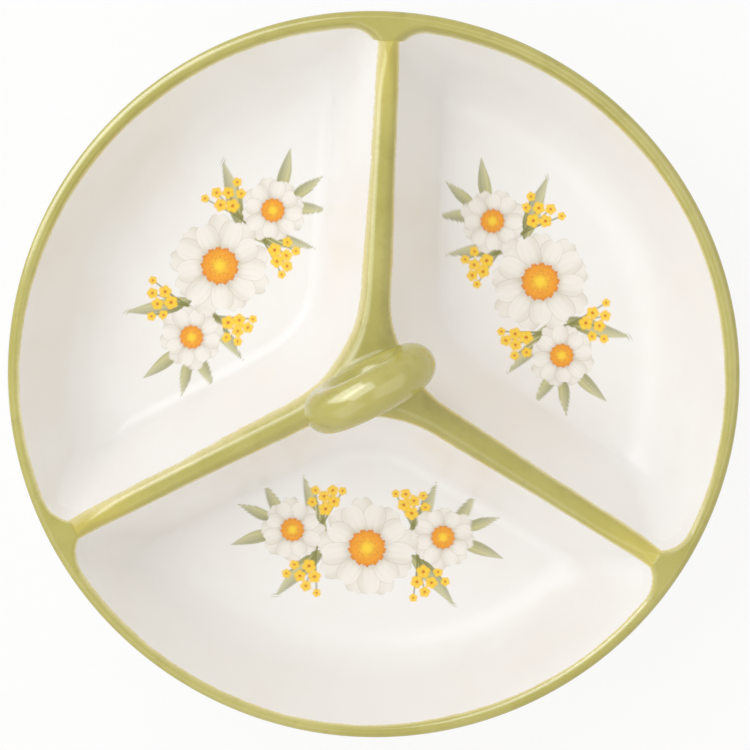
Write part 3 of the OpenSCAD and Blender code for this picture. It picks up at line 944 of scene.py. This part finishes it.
# Bead of glaze round the foot of the ring, how far from the ring and up the ring the glaze carries painted shade,
# and how uneven the ring's tube is
WELD_RISE, WELD_REACH, SHADE_REACH, SHADE_RISE, RING_UNEVEN = 0.9, 2.0, 1.2, 1.6, 0.012


def ring_gap(dish, points):
    """Distance from points to the ring's surface: to the oval of its middle line, drawn to a circle, less the
    tube's radius."""
    rise = (points[..., 2] - dish.ring_z) * dish.ring_r / dish.ring_v
    return np.hypot(np.hypot(points[..., 0], rise) - dish.ring_r, points[..., 1]) - dish.ring_tube_d / 2


# Rings of points on the hub, how much closer they lie towards its edge, and the longest ray
HUB_RINGS, HUB_CLOSER, HUB_LIMIT = 90, 1.3, 80.0


class BOWL_OT_hub(Operator):
    """Hub on which the crests meet"""
    bl_idname = "bowl.hub"
    bl_label = "Hub"

    def execute(self, context):
        """Rays from the middle to the edge of the nearest well or to the crests' start, at the height of the
        land, which is raised in a square curve near the ring. Round the ring's foot the glaze carries painted shade."""
        dish = Dish(context.scene.bowl_sizes)
        a = np.arange(ROUND_FINE_N) * 2 * math.pi / ROUND_FINE_N
        off_axis = from_third(a - math.pi / 3)
        reach = land_reach(dish, a, np.minimum(HUB_REACH / np.cos(off_axis), HUB_LIMIT), 0.0, 0.0)
        share = (np.arange(1, HUB_RINGS + 1) / HUB_RINGS)[:, None]
        share = 1 - (1 - share) ** HUB_CLOSER
        top = np.stack([share * reach * np.cos(a), share * reach * np.sin(a), 0 * share * reach], axis=-1)
        top[..., 2] = land_height(dish, top[..., 0], top[..., 1])
        top[..., 2] += WELD_RISE * np.clip(1 - ring_gap(dish, top) / WELD_REACH, 0, 1) ** 2
        under = top[[-1, 60, 30]].copy()
        under[..., :2] *= 0.8
        under[..., 2] = dish.seam_z - LAND_UNDER
        rows = np.concatenate([top, under])

        # Painted shade: the hub is darker round the ring's foot.
        def pool(points):
            return 0.7 * smooth(1 - ring_gap(dish, points) / SHADE_REACH)

        add_piece("hub", rows, "fired_green", ["hub_cap"], floats=[("edge", land_edge(dish)), ("pool", pool)])
        return {"FINISHED"}


# Points round the ring and round its tube
RING_N, TUBE_N = 288, 112


class BOWL_OT_ring(Operator):
    """Finger ring on the hub"""
    bl_idname = "bowl.ring"
    bl_label = "Finger ring"

    def execute(self, context):
        """A tube round an upright oval in the plane of X and Z, a little uneven, as a hand-drawn ring is. Across
        the tube the points go along the oval's normal and along Y. The whole is leant about its lowest point."""
        dish = Dish(context.scene.bowl_sizes)
        u = (np.arange(RING_N) * 2 * math.pi / RING_N)[:, None]
        v = np.arange(TUBE_N) * 2 * math.pi / TUBE_N
        tube = dish.ring_tube_d / 2 * (1 - RING_UNEVEN + RING_UNEVEN * np.sin(2 * u + 0.7) * np.cos(v))
        normal = np.stack([np.cos(u) / dish.ring_r, np.sin(u) / dish.ring_v])
        normal = normal / np.hypot(normal[0], normal[1])
        out = tube * np.cos(v)
        rise = dish.ring_tall / 2 + dish.ring_v * np.sin(u) + out * normal[1]
        c, s = math.cos(dish.ring_lean), math.sin(dish.ring_lean)
        rows = np.stack([dish.ring_r * np.cos(u) + out * normal[0], tube * np.sin(v) * c - rise * s,
                         dish.ring_base + rise * c + tube * np.sin(v) * s], axis=-1)

        # Painted shade: the ring is darker just above the land.
        def pool(points):
            return 0.8 * smooth(1 - (points[:, 2] - land_height(dish, points[:, 0], points[:, 1])) / SHADE_RISE)

        add_piece("ring", rows, "fired_green", ["ring_handle"], ring=True,
                  floats=[("edge", even(6.0)), ("pool", pool)])
        return {"FINISHED"}


# A foot's rounded edge, how far it reaches into the floor, and the share of its half length that is drawn in
FOOT_EDGE, FOOT_SINK, FOOT_DRAWN = 0.9, 0.4, 0.02


class BOWL_OT_feet(Operator):
    """Unglazed feet under the wells"""
    bl_idname = "bowl.feet"
    bl_label = "Feet"

    def execute(self, context):
        """A section with two rounded lower edges carried along an arc, its ends drawn in."""
        dish = Dish(context.scene.bowl_sizes)
        outer = dish.floor_in_r - dish.foot_margin
        inner, edge = outer - dish.foot_w, FOOT_EDGE
        a = np.linspace(0, math.pi / 2, 7)
        left = np.stack([inner + edge - edge * np.cos(a), edge - edge * np.sin(a)], axis=-1)
        right = np.stack([outer - edge + edge * np.sin(a), edge - edge * np.cos(a)], axis=-1)
        top = dish.foot_h + FOOT_SINK
        section = np.concatenate([[[inner, top]], left, right, [[outer, top]]])
        t = np.linspace(-1, 1, 121)
        draw = np.sqrt(np.clip((1 - np.abs(t)) / FOOT_DRAWN, 0.02, 1))
        mid = (outer + inner) / 2
        r = mid + (section[:, 0] - mid) * (0.55 + 0.45 * draw)[:, None]
        z = top + (section[:, 1] - top) * (0.75 + 0.25 * draw)[:, None]
        turn = (t * dish.foot_half)[:, None]
        rows = np.stack([r * np.cos(turn), r * np.sin(turn), z], axis=-1)
        for name, degrees in WELL_ANGLES.items():
            add_piece("foot_arc_" + name, turned(rows, degrees), "fired_clay", ["foot_" + name])
        return {"FINISHED"}


# Lamps: name, power and share of it, size and distance in metres, azimuth and height in degrees, and the pieces that
# reflect a panel which lights nothing else
ROUNDS, CRESTS = ("ring", "lip"), ("hub", "crest_top_back", "crest_top_left")
LAMPS = (("key", "key_power", 1.0, 1.25, 1.5, 108.0, 45.0, ()),
         ("fill", "fill_power", 1.0, 1.4, 1.5, 198.0, 45.0, ()),
         ("gleam_high", "gleam_power", 1.0, 1.2, 1.48, 108.0, 45.0, ROUNDS),
         ("gleam_side", "gleam_power", 1.0, 1.6, 1.5, 350.0, 55.0, ROUNDS),
         ("gleam_low", "gleam_power", 3.0, 1.3, 1.5, 118.0, 16.0, ROUNDS),
         ("gleam_flank", "gleam_power", 4.5, 2.2, 1.5, 140.0, 18.0, CRESTS))
LAMP_TINT, SKY_TINT, WHITE = (0.97, 1.0, 1.08), (1.0, 0.942, 0.865, 1), (1, 1, 1, 1)
FLOOR_SIDE, FLOOR_TINT, FLOOR_GLOW, AIM_Z = 6.0, (0.86, 0.86, 0.86, 1), 0.86, 0.04


class BOWL_OT_stage(Operator):
    """Floor, lights and camera"""
    bl_idname = "bowl.stage"
    bl_label = "Stage"

    def execute(self, context):
        """A wide pale floor that the camera sees as white but for the dish's shadow, a large soft key light at
        the upper left of the picture, a weak fill light, panels that only the green glaze reflects, an even sky, and
        the camera nearly overhead."""
        scene, stage = context.scene, context.scene.bowl_stage
        mesh = bpy.data.meshes.new("floor")
        corners = np.array([[-1, -1, 0], [1, -1, 0], [1, 1, 0], [-1, 1, 0]]) * FLOOR_SIDE
        mesh.from_pydata(corners.tolist(), [], [[0, 1, 2, 3]])
        nodes = Nodes(bpy.data.materials.new("pale_floor"))
        matt = nodes.add("BsdfDiffuse", {"Color": FLOOR_TINT})
        glow = nodes.add("Emission", {"Color": WHITE, "Strength": 1.0})
        both = nodes.add("MixShader", {0: nodes.math("MULTIPLY", nodes.seen(), FLOOR_GLOW), 1: matt.outputs[0],
                                       2: glow.outputs[0]})
        nodes.add("OutputMaterial", {"Surface": both.outputs[0]})
        mesh.materials.append(nodes.owner)
        ground = bpy.data.objects.new("floor", mesh)
        scene.collection.objects.link(ground)

        scene.world = bpy.data.worlds.new("studio")
        nodes = Nodes(scene.world)
        sky = nodes.add("Background", {"Color": SKY_TINT, "Strength": stage.sky})
        white = nodes.add("Background", {"Color": WHITE, "Strength": 1.0})
        both = nodes.add("MixShader", {0: nodes.seen(), 1: sky.outputs[0], 2: white.outputs[0]})
        nodes.add("OutputWorld", {"Surface": both.outputs[0]})

        middle = Vector((0, 0, AIM_Z))
        for name, power, share, size, distance, azimuth, height, pieces in LAMPS:
            lamp = bpy.data.lights.new(name, "AREA")
            lamp.energy, lamp.size, lamp.color = share * getattr(stage, power), size, LAMP_TINT
            a, e = math.radians(azimuth), math.radians(height)
            toward = Vector((math.cos(a) * math.cos(e), math.sin(a) * math.cos(e), math.sin(e)))
            holder = bpy.data.objects.new(name, lamp)
            holder.location = middle + toward * distance
            holder.rotation_mode = "QUATERNION"
            holder.rotation_quaternion = toward.to_track_quat("Z", "Y")
            scene.collection.objects.link(holder)
            if pieces:
                holder.visible_diffuse = False
                holder.light_linking.receiver_collection = bpy.data.collections.new(name + "_shows_on")
                for piece in pieces:
                    holder.light_linking.receiver_collection.objects.link(scene.objects[piece])

        tilt, lean = stage.camera_tilt, stage.camera_side
        back = Vector((math.sin(tilt) * math.cos(lean), math.sin(tilt) * math.sin(lean), math.cos(tilt)))
        right = (-back).cross(Vector((math.cos(stage.camera_up), math.sin(stage.camera_up), 0))).normalized()
        up = right.cross(-back)
        camera = bpy.data.cameras.new("camera")
        camera.sensor_width, camera.lens = 36.0, stage.camera_lens
        camera.clip_start, camera.clip_end = 0.05, 50.0
        holder = bpy.data.objects.new("camera", camera)
        place = Matrix((right, up, back)).transposed().to_4x4()
        place.translation = Vector((stage.aim_x, stage.aim_y, AIM_Z)) + back * stage.camera_distance
        holder.matrix_world = place
        scene.collection.objects.link(holder)
        scene.camera = holder
        scene.view_settings.view_transform = "Standard"
        return {"FINISHED"}


class BOWL_PT_panel(Panel):
    """Sizes, colours and pieces of the bowl"""
    bl_idname = "BOWL_PT_panel"
    bl_label = "Divided serving bowl"
    bl_space_type = "VIEW_3D"
    bl_region_type = "UI"
    bl_category = "Bowl"

    def draw(self, context):
        for group in (context.scene.bowl_sizes, context.scene.bowl_colours, context.scene.bowl_stage):
            box = self.layout.box()
            for key in type(group).__annotations__:
                box.prop(group, key)
        for operator in OPERATORS:
            self.layout.operator(operator.bl_idname)


GROUPS = {"bowl_sizes": BowlSizes, "bowl_colours": BowlColours, "bowl_stage": BowlStage}
OPERATORS = (BOWL_OT_round_wall, BOWL_OT_wells, BOWL_OT_hub_boss, BOWL_OT_lip, BOWL_OT_crests, BOWL_OT_hub,
             BOWL_OT_ring, BOWL_OT_feet, BOWL_OT_stage)


def register():
    """Registers the property groups, the operators and the panel."""
    for name, group in GROUPS.items():
        bpy.utils.register_class(group)
        setattr(bpy.types.Scene, name, PointerProperty(type=group))
    for cls in (*OPERATORS, BOWL_PT_panel):
        bpy.utils.register_class(cls)


def unregister():
    """Takes them back in reverse order."""
    for cls in (BOWL_PT_panel, *reversed(OPERATORS)):
        bpy.utils.unregister_class(cls)
    for name, group in reversed(GROUPS.items()):
        delattr(bpy.types.Scene, name)
        bpy.utils.unregister_class(group)


def main():
    """Builds every piece and the stage."""
    register()
    bpy.ops.bowl.round_wall()
    bpy.ops.bowl.wells()
    bpy.ops.bowl.hub_boss()
    bpy.ops.bowl.lip()
    bpy.ops.bowl.crests()
    bpy.ops.bowl.hub()
    bpy.ops.bowl.ring()
    bpy.ops.bowl.feet()
    bpy.ops.bowl.stage()


if __name__ == "__main__":
    main()
